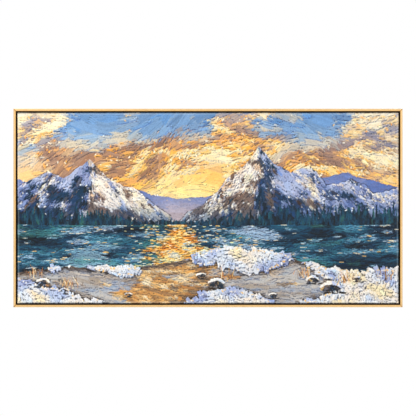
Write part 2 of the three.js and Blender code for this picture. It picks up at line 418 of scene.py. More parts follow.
streaked = add(
    leaf, "Mix", {0: streaks, 6: tinted.outputs[2], 7: linear("#FBE3B4")}, data_type="RGBA"
)
filler = add(
    leaf, "MapRange",
    {"Value": from_joint, "From Min": 0.4 * MM, "From Max": 2.6 * MM, "To Min": 0.95, "To Max": 0},
)
jointed = add(
    leaf, "Mix", {0: filler, 6: streaked.outputs[2], 7: linear("#B07A3C")}, data_type="RGBA"
)
sheen_marks = add(leaf, "MapRange", {"Value": brushed, "To Min": 0.34, "To Max": 0.52})
grain_bump = add(leaf, "Bump", {"Height": brushed, "Strength": 0.25, "Distance": 0.1 * MM})
leaf_shader = add(
    leaf, "BsdfPrincipled",
    {
        "Base Color": jointed.outputs[2], "Metallic": 0.7, "Roughness": sheen_marks,
        "Normal": grain_bump, "Coat Weight": 0.25, "Coat Roughness": 0.3,
    },
)
add(leaf, "OutputMaterial", {"Surface": leaf_shader})
print("gilding nodes:", len(leaf.node_tree.nodes))

# %% [markdown]
# ### Black spray and bare wood
#
# The inside of the rail is sprayed with matt black, which keeps a little of the wood's nap
# and catches pale dust in its corner. The back is bare: finely planed poplar, whose grain
# runs along the rail.

# %% Black spray and bare wood materials
black = new_material("matt_black_spray")
where = add(black, "TexCoord").outputs["Object"]
nap = add(black, "TexNoise", {"Vector": where, "Scale": 1 / (1.5 * MM), "Detail": 3})
dust = add(black, "TexNoise", {"Vector": where, "Scale": 1 / (30 * MM), "Detail": 6})
dusted = add(
    black, "ValToRGB", {"Fac": dust}, stops=[(0.35, "#1F1D1B"), (0.62, "#2A2723"), (0.8, "#3A352E")]
)
nap_bump = add(black, "Bump", {"Height": nap, "Strength": 0.3, "Distance": 0.1 * MM})
black_shader = add(
    black, "BsdfPrincipled",
    {"Base Color": dusted, "Roughness": 0.85, "Specular IOR Level": 0.25, "Normal": nap_bump},
)
add(black, "OutputMaterial", {"Surface": black_shader})


def planed_wood(name, along, pale, dark, ring):
    """Planed softwood whose grain runs along one axis: 0 for X, 2 for Z."""
    wood = new_material(name)
    where = add(wood, "TexCoord").outputs["Object"]
    squeeze = [1 / ring] * 3
    squeeze[along] = 1 / (40 * ring)
    long_grain = add(wood, "VectorMath", {0: where, 1: squeeze}, operation="MULTIPLY")
    rings = add(
        wood, "TexNoise", {"Vector": long_grain, "Scale": 0.35, "Detail": 2, "Distortion": 0.6}
    )
    waves = add(wood, "Math", {0: rings, 1: 9.0}, operation="MULTIPLY")
    bands = add(wood, "Math", {0: waves, 1: 1.0}, operation="PINGPONG")
    fibres = add(wood, "TexNoise", {"Vector": long_grain, "Scale": 5, "Detail": 4})
    spread = add(wood, "Mix", {0: 0.35, 2: bands, 3: fibres}, data_type="FLOAT")
    colour = add(wood, "ValToRGB", {"Fac": spread}, stops=[(0.2, pale), (0.85, dark)])
    bump = add(wood, "Bump", {"Height": spread, "Strength": 0.35, "Distance": 0.15 * MM})
    rough = add(wood, "MapRange", {"Value": fibres, "To Min": 0.55, "To Max": 0.8})
    shader = add(wood, "BsdfPrincipled", {"Base Color": colour, "Roughness": rough, "Normal": bump})
    add(wood, "OutputMaterial", {"Surface": shader})
    return wood


poplar = {
    "level": planed_wood("bare_poplar_level", 0, "#D6C29A", "#B59A6C", 3 * MM),
    "upright": planed_wood("bare_poplar_upright", 2, "#D6C29A", "#B59A6C", 3 * MM),
}
print("wood nodes:", len(poplar["level"].node_tree.nodes))

# %% [markdown]
# ### Screw holes
#
# Screws go through the flange from behind, in countersunk holes, so their heads lie flush.
# Each hole starts as a circle that is pulled down and drawn in, as a bit would leave it, and
# a Boolean modifier takes the holes out of the finished rail.

# %% Cut the screws' holes
SCREW_RADIUS = 4 * MM
SHANK = 1.75 * MM
PLAY = 0.3 * MM  # room round a screw
ROUND = 24  # sides of a round hole or head
TIP_DOWN = Matrix.Rotation(-RIGHT_ANGLE, 4, "X")  # turns what was made along Z into the wood


def pull(form, rim, down, scale):
    """Extrudes a ring of edges down Z, scales it about the axis and returns the new ring."""
    new = bmesh.ops.extrude_edge_only(form, edges=rim)["geom"]
    points = only(bmesh.types.BMVert, new)
    bmesh.ops.translate(form, verts=points, vec=(0, 0, -down))
    bmesh.ops.scale(form, verts=points, vec=(scale, scale, 1))
    return [e for e in only(bmesh.types.BMEdge, new) if all(v in points for v in e.verts)]


def hole_form(place):
    """A countersunk hole from y = 0 through the flange, as a solid to be taken out."""
    form = bmesh.new()
    wide, narrow = SCREW_RADIUS + PLAY, SHANK + PLAY
    bmesh.ops.create_circle(form, segments=ROUND, radius=wide, cap_ends=True)
    bmesh.ops.translate(form, verts=form.verts, vec=(0, 0, MM))
    rim = pull(form, form.edges[:], MM, 1)
    rim = pull(form, rim, wide - narrow, narrow / wide)
    rim = pull(form, rim, FLANGE, 1)
    bmesh.ops.contextual_create(form, geom=rim)
    bmesh.ops.recalc_face_normals(form, faces=form.faces)
    for face in form.faces:
        face.material_index = BARE
    bmesh.ops.transform(form, matrix=Matrix.Translation(place) @ TIP_DOWN, verts=form.verts)
    return form


def drill(rail, side):
    """Takes the holes of one side's screws out of its rail."""
    holes = bmesh.new()
    for node in sorted(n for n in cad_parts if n.startswith(f"frame_screw_{side}")):
        low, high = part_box(node)
        one = hole_form(((low.x + high.x) / 2, 0, (low.z + high.z) / 2))
        passed_on = bpy.data.meshes.new("one_hole")
        one.to_mesh(passed_on)
        one.free()
        holes.from_mesh(passed_on)
        bpy.data.meshes.remove(passed_on)
    cutter = made_of("holes", holes)
    cut = rail.modifiers.new("holes", "BOOLEAN")
    cut.operation = "DIFFERENCE"
    cut.solver = "EXACT"
    cut.object = cutter
    now = bpy.context.evaluated_depsgraph_get()
    drilled = bpy.data.meshes.new_from_object(rail.evaluated_get(now), depsgraph=now)
    rail.modifiers.clear()
    rail.data = drilled
    bpy.data.objects.remove(cutter)


# %% Four rails
for side, (turn, length, reach) in SIDES.items():
    form = rail_form(length, reach)
    dress_rail(form, length, reach)
    turned = Matrix.Rotation(math.radians(turn), 4, "Y")
    bmesh.ops.transform(form, matrix=Matrix.Translation(MIDDLE) @ turned, verts=form.verts)
    wood = poplar["level" if turn % 180 == 0 else "upright"]
    rail = piece(f"gilt_rail_{side}", form, [leaf, black, wood], "crisp")
    drill(rail, side)
    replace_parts(rail, f"frame_rail_{side}")
    print(rail.name, len(rail.data.polygons), "faces")

# %% [markdown]
# ## The stretcher
#
# Four mitred bars and one cross bar of planed pine carry the canvas. Their packed forms are
# right as they are, down to the raised bead under the cloth's edge, so they only need wood:
# pale sapwood with rings 4 mm apart that run along each bar.

# %% Pine on the stretcher
pine = {
    "level": planed_wood("planed_pine_level", 0, "#E3C995", "#C39A5C", 4 * MM),
    "upright": planed_wood("planed_pine_upright", 2, "#E3C995", "#C39A5C", 4 * MM),
}
BARS = {
    "stretcher_bar_top": "level",
    "stretcher_bar_bottom": "level",
    "stretcher_bar_left": "upright",
    "stretcher_bar_right": "upright",
    "stretcher_cross_bar": "upright",
}
for node, run_of_grain in BARS.items():
    resurface(node, pine[run_of_grain])
print("bars in pine:", len(BARS))

# %% [markdown]
# ## The canvas
#
# The cloth is cut larger than the stretcher, its corners are notched, and it is pulled over
# the front, down the sides and onto the back. The piece is made in the same order. A flat
# grid is cut along the fold lines, its corner squares are taken out, the flat places are kept
# as the map of the weave, and then each flap is turned down by two right angles. Bevels round
# the folds and a Solidify modifier gives the cloth its thickness, inwards.

# %% Cut and fold the cloth
SIDE_DEPTH = cloth_high.y - cloth_low.y
CREASE = 1.2 * MM
CORNER = SIDE_DEPTH + FOLD  # the side of the square that is cut out at a corner
CUT_W = CANVAS_W + 2 * CORNER
CUT_H = CANVAS_H + 2 * CORNER

cloth = bmesh.new()
bmesh.ops.create_grid(cloth, x_segments=1, y_segments=1, size=0.5)
bmesh.ops.scale(cloth, verts=cloth.verts, vec=(CUT_W, CUT_H, 1))
bmesh.ops.rotate(cloth, verts=cloth.verts, matrix=Matrix.Rotation(RIGHT_ANGLE, 3, "X"))
for axis, size in ((Vector((1, 0, 0)), CANVAS_W), (Vector((0, 0, 1)), CANVAS_H)):
    for line in (size / 2, size / 2 + SIDE_DEPTH):
        for side in (-1, 1):
            bmesh.ops.bisect_plane(
                cloth, geom=everything(cloth), plane_co=axis * side * line, plane_no=axis
            )
notches = [
    f
    for f in cloth.faces
    if abs(f.calc_center_median().x) > CANVAS_W / 2 and abs(f.calc_center_median().z) > CANVAS_H / 2
]
bmesh.ops.delete(cloth, geom=notches, context="FACES")
print("flat cloth", len(cloth.faces), "faces, cut", round(CUT_W, 4), "by", round(CUT_H, 4))

# %% Keep the weave's map, then fold
weave = cloth.loops.layers.uv.new("weave")
for face in cloth.faces:
    for loop in face.loops:
        loop[weave].uv = (loop.vert.co.x, loop.vert.co.z)

FLAPS = ((0, CANVAS_W, 1, "Z", 90), (0, CANVAS_W, -1, "Z", -90))
FLAPS += ((2, CANVAS_H, 1, "X", -90), (2, CANVAS_H, -1, "X", 90))
for depth in (SIDE_DEPTH, 0):
    for axis, size, side, hinge, degrees in FLAPS:
        line = side * (size / 2 + depth)
        pivot = Vector((0, 0, 0))
        pivot[axis] = line
        bmesh.ops.rotate(
            cloth,
            verts=[v for v in cloth.verts if side * (v.co[axis] - line) > NEAR],
            cent=pivot,
            matrix=Matrix.Rotation(math.radians(degrees), 3, hinge),
        )
print("folded depth", round(max(v.co.y for v in cloth.verts) / MM, 2), "mm")

# %% Mitre the folds behind and round the creases
for x_side in (-1, 1):
    for z_side in (-1, 1):
        for axis in (0, 2):
            turned_in = [f for f in cloth.faces if f.calc_center_median().y > SIDE_DEPTH - MM]
            flap = [
                f
                for f in turned_in
                if abs(f.calc_center_median()[axis]) > (CANVAS_W, 0, CANVAS_H)[axis] / 2 - FOLD
                and f.calc_center_median()[axis] * (x_side if axis == 0 else z_side) > 0
            ]
            touched = {v for f in flap for v in f.verts} | {e for f in flap for e in f.edges}
            outward = 1 if axis == 2 else -1
            bmesh.ops.bisect_plane(
                cloth, geom=list(touched) + flap,
                plane_co=(x_side * CANVAS_W / 2, 0, z_side * CANVAS_H / 2),
                plane_no=(outward * x_side, 0, -outward * z_side), clear_outer=True,
            )
creases = [
    e for e in cloth.edges if len(e.link_faces) == 2 and e.calc_face_angle(0) > math.radians(60)
]
bmesh.ops.bevel(
    cloth, geom=creases, offset=CREASE, segments=3, profile=0.5, affect="EDGES", material=-1
)
bmesh.ops.recalc_face_normals(cloth, faces=cloth.faces)
front = min(cloth.faces, key=lambda f: f.calc_center_median().y)
if front.normal.y > 0:
    bmesh.ops.reverse_faces(cloth, faces=cloth.faces)
for face in cloth.faces:
    face.material_index = 2 if face.calc_center_median().y > SIDE_DEPTH - MM / 2 else 0
bmesh.ops.translate(cloth, verts=cloth.verts, vec=(0, cloth_low.y, MIDDLE.z))

# %% [markdown]
# ### Canvas materials
#
# Artist's canvas is cotton duck, a plain weave with two threads side by side in one direction.
# Real threads are about half a millimetre apart, too fine to see from where the picture is
# looked at, so they are drawn 1.3 mm apart, and slubs, the thick places that every cotton
# thread has, are drawn over them. Behind, the cloth is raw and cream-coloured, a little
# browner where oil has come through. In front it is primed, and its edges are painted almost
# black, as is done for a floater frame.

# %% Raw, primed and blackened cotton
THREAD = 1.3 * MM
SLUB = 16 * MM
WAVE = 0.314  # the scale at which a wave texture repeats once a metre


def cotton(name, low, high, rough):
    """Plain-woven cotton between two tones. The map called weave counts metres of flat cloth."""
    duck = new_material(name)
    flat = add(duck, "UVMap", uv_map="weave")
    threads = {}
    for way, turn in (("warp", 0), ("weft", 90)):
        turned = add(duck, "Mapping", {"Vector": flat, "Rotation": (0, 0, math.radians(turn))})
        threads[way] = add(
            duck, "TexWave",
            {
                "Vector": turned, "Scale": WAVE / THREAD, "Distortion": 0.6, "Detail": 1,
                "Detail Scale": 0.5,
            },
            bands_direction="X",
        ).outputs["Fac"]
    checks = add(
        duck, "TexChecker",
        {"Vector": flat, "Scale": 1 / THREAD, "Color1": (1, 1, 1, 1), "Color2": (0, 0, 0, 1)},
    )
    over = add(
        duck,
        "Mix",
        {0: checks.outputs["Fac"], 2: threads["warp"], 3: threads["weft"]},
        data_type="FLOAT",
    )
    slubs = []
    for stretch in ((1 / SLUB, 1 / THREAD / 2, 1), (1 / THREAD / 2, 1 / SLUB, 1)):
        pulled = add(duck, "VectorMath", {0: flat, 1: stretch}, operation="MULTIPLY")
        slubs.append(add(duck, "TexNoise", {"Vector": pulled, "Scale": 1}))
    slub = add(duck, "Mix", {0: 0.5, 2: slubs[0], 3: slubs[1]}, data_type="FLOAT")
    relief = add(duck, "Mix", {0: 0.5, 2: over, 3: slub}, data_type="FLOAT")
    stains = add(duck, "TexNoise", {"Vector": flat, "Scale": 1 / (90 * MM), "Detail": 6})
    shade = add(duck, "Mix", {0: 0.3, 2: relief, 3: stains}, data_type="FLOAT")
    tone = add(duck, "ValToRGB", {"Fac": shade}, stops=[(0.32, low), (0.62, high)])
    bump = add(duck, "Bump", {"Height": relief, "Strength": 0.6, "Distance": 0.35 * MM})
    shader = add(
        duck, "BsdfPrincipled",
        {"Base Color": tone, "Roughness": rough, "Normal": bump, "Sheen Weight": 0.15},
    )
    add(duck, "OutputMaterial", {"Surface": shader})
    return duck


blackened = cotton("painted_canvas_edge", "#1B1A1A", "#2C2A28", 0.75)
raw = cotton("raw_cotton_duck", "#B9A57F", "#DCCFB2", 0.95)
primed = cotton("primed_cotton_duck", "#DAD6CC", "#EFECE4", 0.9)

canvas = piece("stretched_canvas", cloth, [blackened, raw, primed], "flat")
thickness = canvas.modifiers.new("cloth thickness", "SOLIDIFY")
thickness.thickness = CLOTH
thickness.offset = -1
thickness.material_offset = 1
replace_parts(canvas, "canvas")
print("canvas faces", len(canvas.data.polygons))

# %% [markdown]
# ## Screws, hangers and nails
#
# Countersunk screws hold the stretcher in the frame. A head starts as a cross joined to a
# circle: the cross is pushed down for the driver, and the circle is pulled down and drawn in
# for the cone, the shank and the point. A nail's head is a shallow dome, so its profile is
# spun. The hangers are bent and notched strips, whose packed forms are right already.

# %% Screws with a cross recess
SLOT = 0.55 * MM  # half the width of the cross's arms
ARM = 2.1 * MM
RECESS = 1.5 * MM
RIM = 0.25 * MM  # the straight edge of the head, above its cone

zinc = new_material("zinc_plated_steel")
where = add(zinc, "TexCoord").outputs["Object"]
spangle = add(zinc, "TexVoronoi", {"Vector": where, "Scale": 1 / (1.1 * MM)})
plating = add(
    zinc, "ValToRGB", {"Fac": spangle.outputs["Color"]}, stops=[(0.2, "#A9ABAE"), (0.9, "#CFD0CE")]
)
worn = add(zinc, "MapRange", {"Value": spangle.outputs["Distance"], "To Min": 0.26, "To Max": 0.45})
zinc_shader = add(
    zinc, "BsdfPrincipled", {"Base Color": plating, "Metallic": 1.0, "Roughness": worn}
)
add(zinc, "OutputMaterial", {"Surface": zinc_shader})


def screw_form(length):
    """A countersunk screw with its head's top at z = 0 and its point down."""
    form = bmesh.new()
    circle = bmesh.ops.create_circle(form, segments=ROUND, radius=SCREW_RADIUS)["verts"]
    rim = list({e for v in circle for e in v.link_edges})
    quarter = [(ARM, -SLOT), (ARM, SLOT), (SLOT, SLOT)]
    cross = []
    for turn in range(4):
        spin = Matrix.Rotation(RIGHT_ANGLE * turn, 3, "Z")
        cross += [form.verts.new(spin @ Vector((x, y, 0))) for x, y in quarter]
    recess = form.faces.new(cross)
    bmesh.ops.bridge_loops(form, edges=rim + list(recess.edges))
    sunk = bmesh.ops.extrude_face_region(form, geom=[recess])["geom"]
    floor = only(bmesh.types.BMVert, sunk)
    bmesh.ops.delete(form, geom=[recess], context="FACES_ONLY")
    bmesh.ops.translate(form, verts=floor, vec=(0, 0, -RECESS))
    bmesh.ops.scale(form, verts=floor, vec=(0.6, 0.6, 1))
    cone = SCREW_RADIUS - SHANK
    rim = pull(form, rim, RIM, 1)
    rim = pull(form, rim, cone, SHANK / SCREW_RADIUS)
    rim = pull(form, rim, length - cone - RIM - 2 * SHANK, 1)
    rim = pull(form, rim, 2 * SHANK, 0.1)
    bmesh.ops.contextual_create(form, geom=rim)
    bmesh.ops.recalc_face_normals(form, faces=form.faces)
    return form


def nail_form(length, head, dome):
    """A nail with a domed head, whose top is at z = 0."""
    form = bmesh.new()
    shank = head / 3
    arc = [(head * math.sin(a), dome * (math.cos(a) - 1)) for a in np.linspace(0, math.pi / 2, 6)]
    outline = arc + [(shank, -dome), (shank, 3 * shank - length), (0, -length)]
    points = [form.verts.new((r, 0, z)) for r, z in outline]
    for pair in zip(points, points[1:]):
        form.edges.new(pair)
    bmesh.ops.spin(
        form, geom=form.verts[:] + form.edges[:], cent=(0, 0, 0), axis=(0, 0, 1), angle=math.tau,
        steps=20, use_merge=True,
    )
    bmesh.ops.remove_doubles(form, verts=form.verts, dist=MM / 1000)
    bmesh.ops.recalc_face_normals(form, faces=form.faces)
    return form


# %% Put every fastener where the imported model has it
def fasten(form, node, name, turn):
    """Stands a fastener made along Z in a node's place, its head towards +Y."""
    low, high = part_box(node)
    middle = (low + high) / 2
    place = Matrix.Translation((middle.x, high.y, middle.z))
    twist = Matrix.Rotation(turn, 4, "Z")
    bmesh.ops.transform(form, matrix=place @ TIP_DOWN @ twist, verts=form.verts)
    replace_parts(piece(name, form, [zinc], "crisp"), node)


driven = np.random.default_rng(3)
screws = sorted(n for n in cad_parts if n.startswith("frame_screw"))
nails = sorted(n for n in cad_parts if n.startswith("hanger_nail"))
for node in screws:
    low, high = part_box(node)
    turn = driven.uniform(0, math.pi / 2)
    fasten(screw_form(high.y - low.y), node, node.replace("frame_", "crosshead_"), turn)
for node in nails:
    low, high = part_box(node)
    form = nail_form(high.y - low.y, (high.x - low.x) / 2, 0.9 * MM)
    fasten(form, node, node.replace("hanger_", "domed_"), 0)
for node in ("hanger_left", "hanger_right"):
    resurface(node, zinc)
print(len(screws), "screws,", len(nails), "nails")

# %% [markdown]
# ## The paint
#
# The picture is the heart of the piece: an alpine lake at dusk, laid on with palette knives.
# It could be a flat colour with a bump, but thick paint throws real shadows and has a real
# edge where it stops, so it is modelled as relief. Millions of small marks can't be placed by
# hand either. So the script paints as a painter does. It decides what colour is wanted where,
# and then lays many thousand strokes of the knife, broad ones first, and smaller ones only
# where the picture still differs from what is wanted. Each stroke leaves colour and thickness
# on one grid, and the grid becomes the meshes. All painter's sizes below are millimetres from
# the middle of the canvas.

# %% The grid that is painted on
PITCH = 1.38  # between two places of the grid
BANDS = ("sky", "peaks", "lake", "shore")  # the pieces, from the top down
HALF_W = CANVAS_W / MM / 2
HALF_H = CANVAS_H / MM / 2
COLUMNS = round(2 * HALF_W / PITCH)
BAND_ROWS = round(2 * HALF_H / PITCH / len(BANDS))
ROWS = BAND_ROWS * len(BANDS)

x_line = np.linspace(-HALF_W, HALF_W, COLUMNS + 1)
z_line = np.linspace(-HALF_H, HALF_H, ROWS + 1)
X, Z = np.meshgrid(x_line, z_line)
hand = np.random.default_rng(11)  # the painter's hand: every random choice comes from it
print("paint grid", X.shape, "cell", round(x_line[1] - x_line[0], 3), "mm")

# %% [markdown]
# ### Noise, ramps and outlines
#
# Everything irregular in the picture comes from one table of random numbers, read smoothly:
# lumps of a given size, or several sizes on top of each other. A ramp turns a number into a
# colour between pigments, and an outline is a chain of heights made ragged by the same noise.

# %% Noise and colour helpers
LATTICE = hand.uniform(-1, 1, (256, 256))


def lumps(x, z, size, seed=0):
    """Smooth noise from -1 to 1, with lumps about size mm across."""
    u, v = np.asarray(x / size + 31.7 * seed), np.asarray(z / size + 17.3 * seed)
    i, j = np.floor(u).astype(int), np.floor(v).astype(int)
    u, v = u - i, v - j
    u, v = u * u * (3 - 2 * u), v * v * (3 - 2 * v)
    i0, j0, i1, j1 = i % 256, j % 256, (i + 1) % 256, (j + 1) % 256
    low = LATTICE[j0, i0] * (1 - u) + LATTICE[j0, i1] * u
    high = LATTICE[j1, i0] * (1 - u) + LATTICE[j1, i1] * u
    return low * (1 - v) + high * v


def rough(x, z, size, layers=4, seed=0, keep=0.5):
    """Noise of several sizes, each half as large as the last and keep times as strong."""
    parts = [keep**k * lumps(x, z, size / 2**k, seed + k) for k in range(layers)]
    return sum(parts) / sum(keep**k for k in range(layers))


def ease(value, low, high):
    """0 below low, 1 above high and a smooth step between."""
    t = np.clip((value - low) / (high - low), 0, 1)
    return t * t * (3 - 2 * t)


def bump_at(value, middle, width):
    """A bell-shaped bump, 1 at its middle."""
    return np.exp(-(((value - middle) / width) ** 2))


def pigment(code):
    """The sRGB values of a hex colour, from 0 to 1."""
    return np.array([int(code[i : i + 2], 16) for i in (1, 3, 5)]) / 255


def blend(first, second, share):
    """Mixes two colours, or arrays of them."""
    first, second = (pigment(c) if isinstance(c, str) else c for c in (first, second))
    share = np.asarray(share)[..., None]
    return first * (1 - share) + second * share


def ramp(value, *codes):
    """The colour at a value from 0 to 1 along evenly spaced pigments."""
    colours = np.array([pigment(c) for c in codes])
    at = np.linspace(0, 1, len(codes))
    return np.stack([np.interp(value, at, colours[:, k]) for k in range(3)], axis=-1)


def mixed(x, z, size, seed, *codes):
    """Pigments half mixed, in lumps of about size mm."""
    return ramp(0.5 + 0.5 * lumps(x, z, size, seed), *codes)


def outline(x, points, raggedness, size, seed):
    """A line through a few points, (x, z), made ragged by noise of the given size."""
    px, pz = zip(*points)
    return np.interp(x, px, pz) + raggedness * rough(x, 0 * x, size, 4, seed, 0.55)


# %% [markdown]
# ### What the picture shows
#
# A gap between two snowy massifs lets the last light through. Clouds stand over it, blue sky
# shows between them, and the glow lies as a golden path on a dark lake. In front is a sandy
# shore with drifts of snow and boulders. The places below are the few that shape the picture.

# %% Pigments used in more than one place
CHALK, LINEN, ICE = "#F7F4F0", "#F5E9DC", "#D5E2F2"
IVORY, CREAM, LEMON = "#FFF6DC", "#FBE7BD", "#FFE9A0"
OCHRE, SAND, PRUSSIAN = "#F2B552", "#E2B062", "#12324A"

# %% Places in the picture
WATERLINE = -54  # height of the lake's far shore
GLOW = (-95, 50)
LEFT_PEAK = (-372, 150)
RIGHT_PEAK = (158, 192)

FAR_RANGE = (
    (-600, 92), (-480, 60), (-300, 84), (-170, 42), (-95, 24), (-20, 36), (120, 70), (300, 80),
    (440, 112), (600, 60),
)
LEFT_MASSIF = (
    (-600, 62), (-505, 112), (-455, 96), LEFT_PEAK, (-305, 92), (-235, 62), (-165, 8),
    (-110, -40), (-60, -80),
)
RIGHT_MASSIF = (
    (-120, -70), (-58, -18), (16, 40), (64, 96), (106, 122), RIGHT_PEAK, (206, 140), (262, 112),
    (318, 130), (372, 76), (452, 92), (520, 50), (600, 66),
)


def far_shore(x):
    return WATERLINE + 3 * rough(x, 0 * x, 90, 3, 21)


def tree_tops(x):
    tall = 13 + 30 * ease(abs(x - GLOW[0]), 50, 330)
    spires = abs(lumps(x, 0 * x, 9, 23)) * 0.9 + abs(lumps(x, 0 * x, 4.5, 24)) * 0.5
    return far_shore(x) + tall * (0.5 + spires + 0.35 * lumps(x, 0 * x, 60, 25))


def near_shore(x):
    bays = 30 * np.sin((x + 250) / 210) + 16 * np.sin((x - 60) / 95 + 1)
    return -176 + bays + 13 * rough(x, 0 * x, 80, 4, 29, 0.6)


BOULDERS = (  # place, width and height
    (-520, -236, 46, 26), (-452, -262, 30, 18), (-20, -214, 34, 20), (28, -238, 52, 30),
    (330, -226, 40, 25), (388, -250, 62, 34), (470, -224, 28, 17), (-250, -274, 26, 14),
    (205, -276, 30, 16),
)

# %% Sky
def sky(x, z):
    """Blue above, gold round the glow, and clouds that the glow lights from below."""
    wx, wz = x + 42 * lumps(x, z, 120, 2), z + 18 * lumps(x, z, 90, 5)
    gx, gz = x - GLOW[0], z - GLOW[1]
    warmth = np.exp(-((gx / 430) ** 2) - (gz / 120) ** 2)
    core = np.exp(-((gx / 150) ** 2) - (gz / 46) ** 2)
    air = ramp(ease(z, 30, 290), "#E9A95A", "#F0C48A", "#D3C6B8", "#A6B9CC", "#7C9FC6", "#5F88B8")
    veil = ease(rough(x * 0.5 + z * 0.6, z * 1.6 - x * 0.25, 60, 4, 130, 0.6), 0.02, 0.3)
    thin = ramp(0.5 + 0.6 * lumps(x, z, 40, 134), "#C4B4A4", "#F0D2A2", "#F4E6CC")
    air = blend(air, thin, 0.6 * veil)
    air = blend(air, "#F2A944", 0.9 * warmth)
    air = blend(air, LEMON, core)
    slant = wz - 0.2 * wx

    def mass(x, z):
        return rough(x * 0.72, z * 1.35, 165, 5, 8, 0.52)

    body = mass(wx, slant)
    lift = 0.05 + 0.24 * np.sin(x / 190 - 0.5) * ease(z, 110, 240) + 0.2 * bump_at(z, 118, 62)
    lift = lift + 0.35 * bump_at(x, -560, 130) * bump_at(z, 235, 80)
    cover = ease(body + lift, 0.0, 0.1)
    deep = ease(body + lift, 0.16, 0.5)
    aim = np.tanh(gx / 120)
    lit = ease(body - mass(wx - 11 * aim, slant - 10), -0.07, 0.09)
    warm = ramp(lit, "#93705C", "#B58C6C", "#D2A070", "#EBA04A", "#F4B84E", "#FCE6B4")
    cool = ramp(lit, "#8189A4", "#A7A2A8", "#C6B29C", "#E3BE88", "#F5DCA8", "#F8EACC")
    heat = ease(np.exp(-((gx / 640) ** 2) - (gz / 205) ** 2), 0.06, 0.5)
    clouds = blend(cool, warm, heat)
    clouds = blend(clouds, "#7C5C4C", 0.5 * deep * (1 - lit) * heat)
    return blend(air, clouds, cover * (1 - 0.75 * core))


# %% Mountains
def far_range(x, z):
    """Hazy blue hills, warmer and paler where the glow stands behind them."""
    tone = ramp(0.5 + 0.5 * rough(x, z * 1.4, 60, 3, 80), "#3E5C9A", "#5673AE", "#7D8FB8")
    tone = blend(tone, "#6E6C9C", 0.3)
    tone = blend(tone, "#E2A678", 0.6 * bump_at(x, GLOW[0], 190) * ease(z, 44, -24))
    return blend(tone, "#9DB0D6", 0.35 * ease(z, 64, -30))


def snow_slopes(x, z, peak, crest, seed, lit_side):
    """Snow and rock that fall away from a peak in spurs, lit on the side of the glow."""
    drop = np.maximum(crest - z, 0)
    fan = (x - peak[0]) / (1 + drop / 95) + 5 * lumps(x, z, 36, seed + 2)
    down = (peak[1] - z) * 0.3 + 60 * seed

    def spurs(across):
        return rough(across, down, 40, 3, seed, 0.55)

    facing = (spurs(fan + 3) - spurs(fan)) * 12
    side = 0.75 * np.tanh((fan - 6 * lumps(x, z, 18, seed + 6)) / 9)
    light = ease(facing + side * lit_side, -0.25, 0.25)
    shade = mixed(x, z, 24, seed + 4, "#5B6C9C", "#7D8BB6", "#A2AECE", "#BEC6DE")
    suns = ("#E6B98A", LINEN, "#FFF6EC", CREAM, CHALK)
    bright = mixed(x, z, 28, seed + 5, *suns)
    tone = blend(shade, bright, light)
    rock = rough(fan * 1.1, z * 1.0, 27, 4, seed + 9, 0.6) + 0.4 * ease(drop, 18, 130) - 0.07
    dark = mixed(x, z, 13, seed + 7, "#0E1B26", PRUSSIAN, "#2B4470", "#3A2A24")
    dark = blend(dark, "#8F6A52", 0.75 * light)
    tone = blend(tone, dark, ease(rock, 0.08, 0.13))
    return blend(tone, "#223E62", 0.55 * ease(z, 30, -44))


def forest(x, z):
    """Dark firs in vertical touches, some caught by the light."""
    tone = mixed(x, z * 0.4, 6, 110, "#0B1620", "#0E1B26", PRUSSIAN, "#1A4A62", "#2F5F50")
    caught = 0.5 * ease(lumps(x, z * 0.5, 5, 112), 0.5, 0.8) * bump_at(x, GLOW[0], 260)
    return blend(tone, "#A9763E", caught)


# %% Water and shore
def lake(x, z):
    """Dark water with the glow's path on it and pale images of the snow."""
    flow = rough(x * 0.3, z * 2.0, 34, 4, 40, 0.65)
    depth = ease(z, WATERLINE, -190)
    water = ramp(0.5 + 1.0 * flow, "#061018", "#0B1F30", PRUSSIAN, "#1A4A62", "#2C6A80", "#5A94AE")
    gx = x - GLOW[0] - 14 * np.sin(z / 21)
    path = np.exp(-((gx / (38 + 0.62 * np.maximum(WATERLINE - z, 0))) ** 2))
    glint = ease(rough(x * 0.42, z * 2.6, 34, 4, 50, 0.62) + 0.95 * path, 0.42, 0.56)
    glint = glint * ease(path, 0.06, 0.3)
    golds = ("#A85A22", "#C9742E", "#E8953A", OCHRE, LEMON, IVORY)
    gold = ramp(0.4 + 0.5 * lumps(x, z * 2, 22, 52) + 0.35 * path, *golds)
    image = (x - 168 - 10 * np.sin(z / 17)) / (74 - 0.2 * z)
    pale = rough(x * 0.4, z * 2.2, 36, 4, 55, 0.6) + 0.6 * np.exp(-(image**2)) - 0.12 * depth
    pale = ease(pale, 0.3, 0.42)
    left = ease(rough(x * 0.36, z * 2.3, 38, 4, 57, 0.6) + 0.5 * bump_at(x, -372, 105), 0.36, 0.48)
    water = blend(water, "#A9C0D8", 0.85 * pale)
    water = blend(water, "#8FB6CB", 0.75 * left)
    water = blend(water, "#3F7F76", 0.55 * ease(rough(x * 0.5, z * 2, 60, 3, 59), 0.15, 0.4))
    return blend(water, gold, glint)


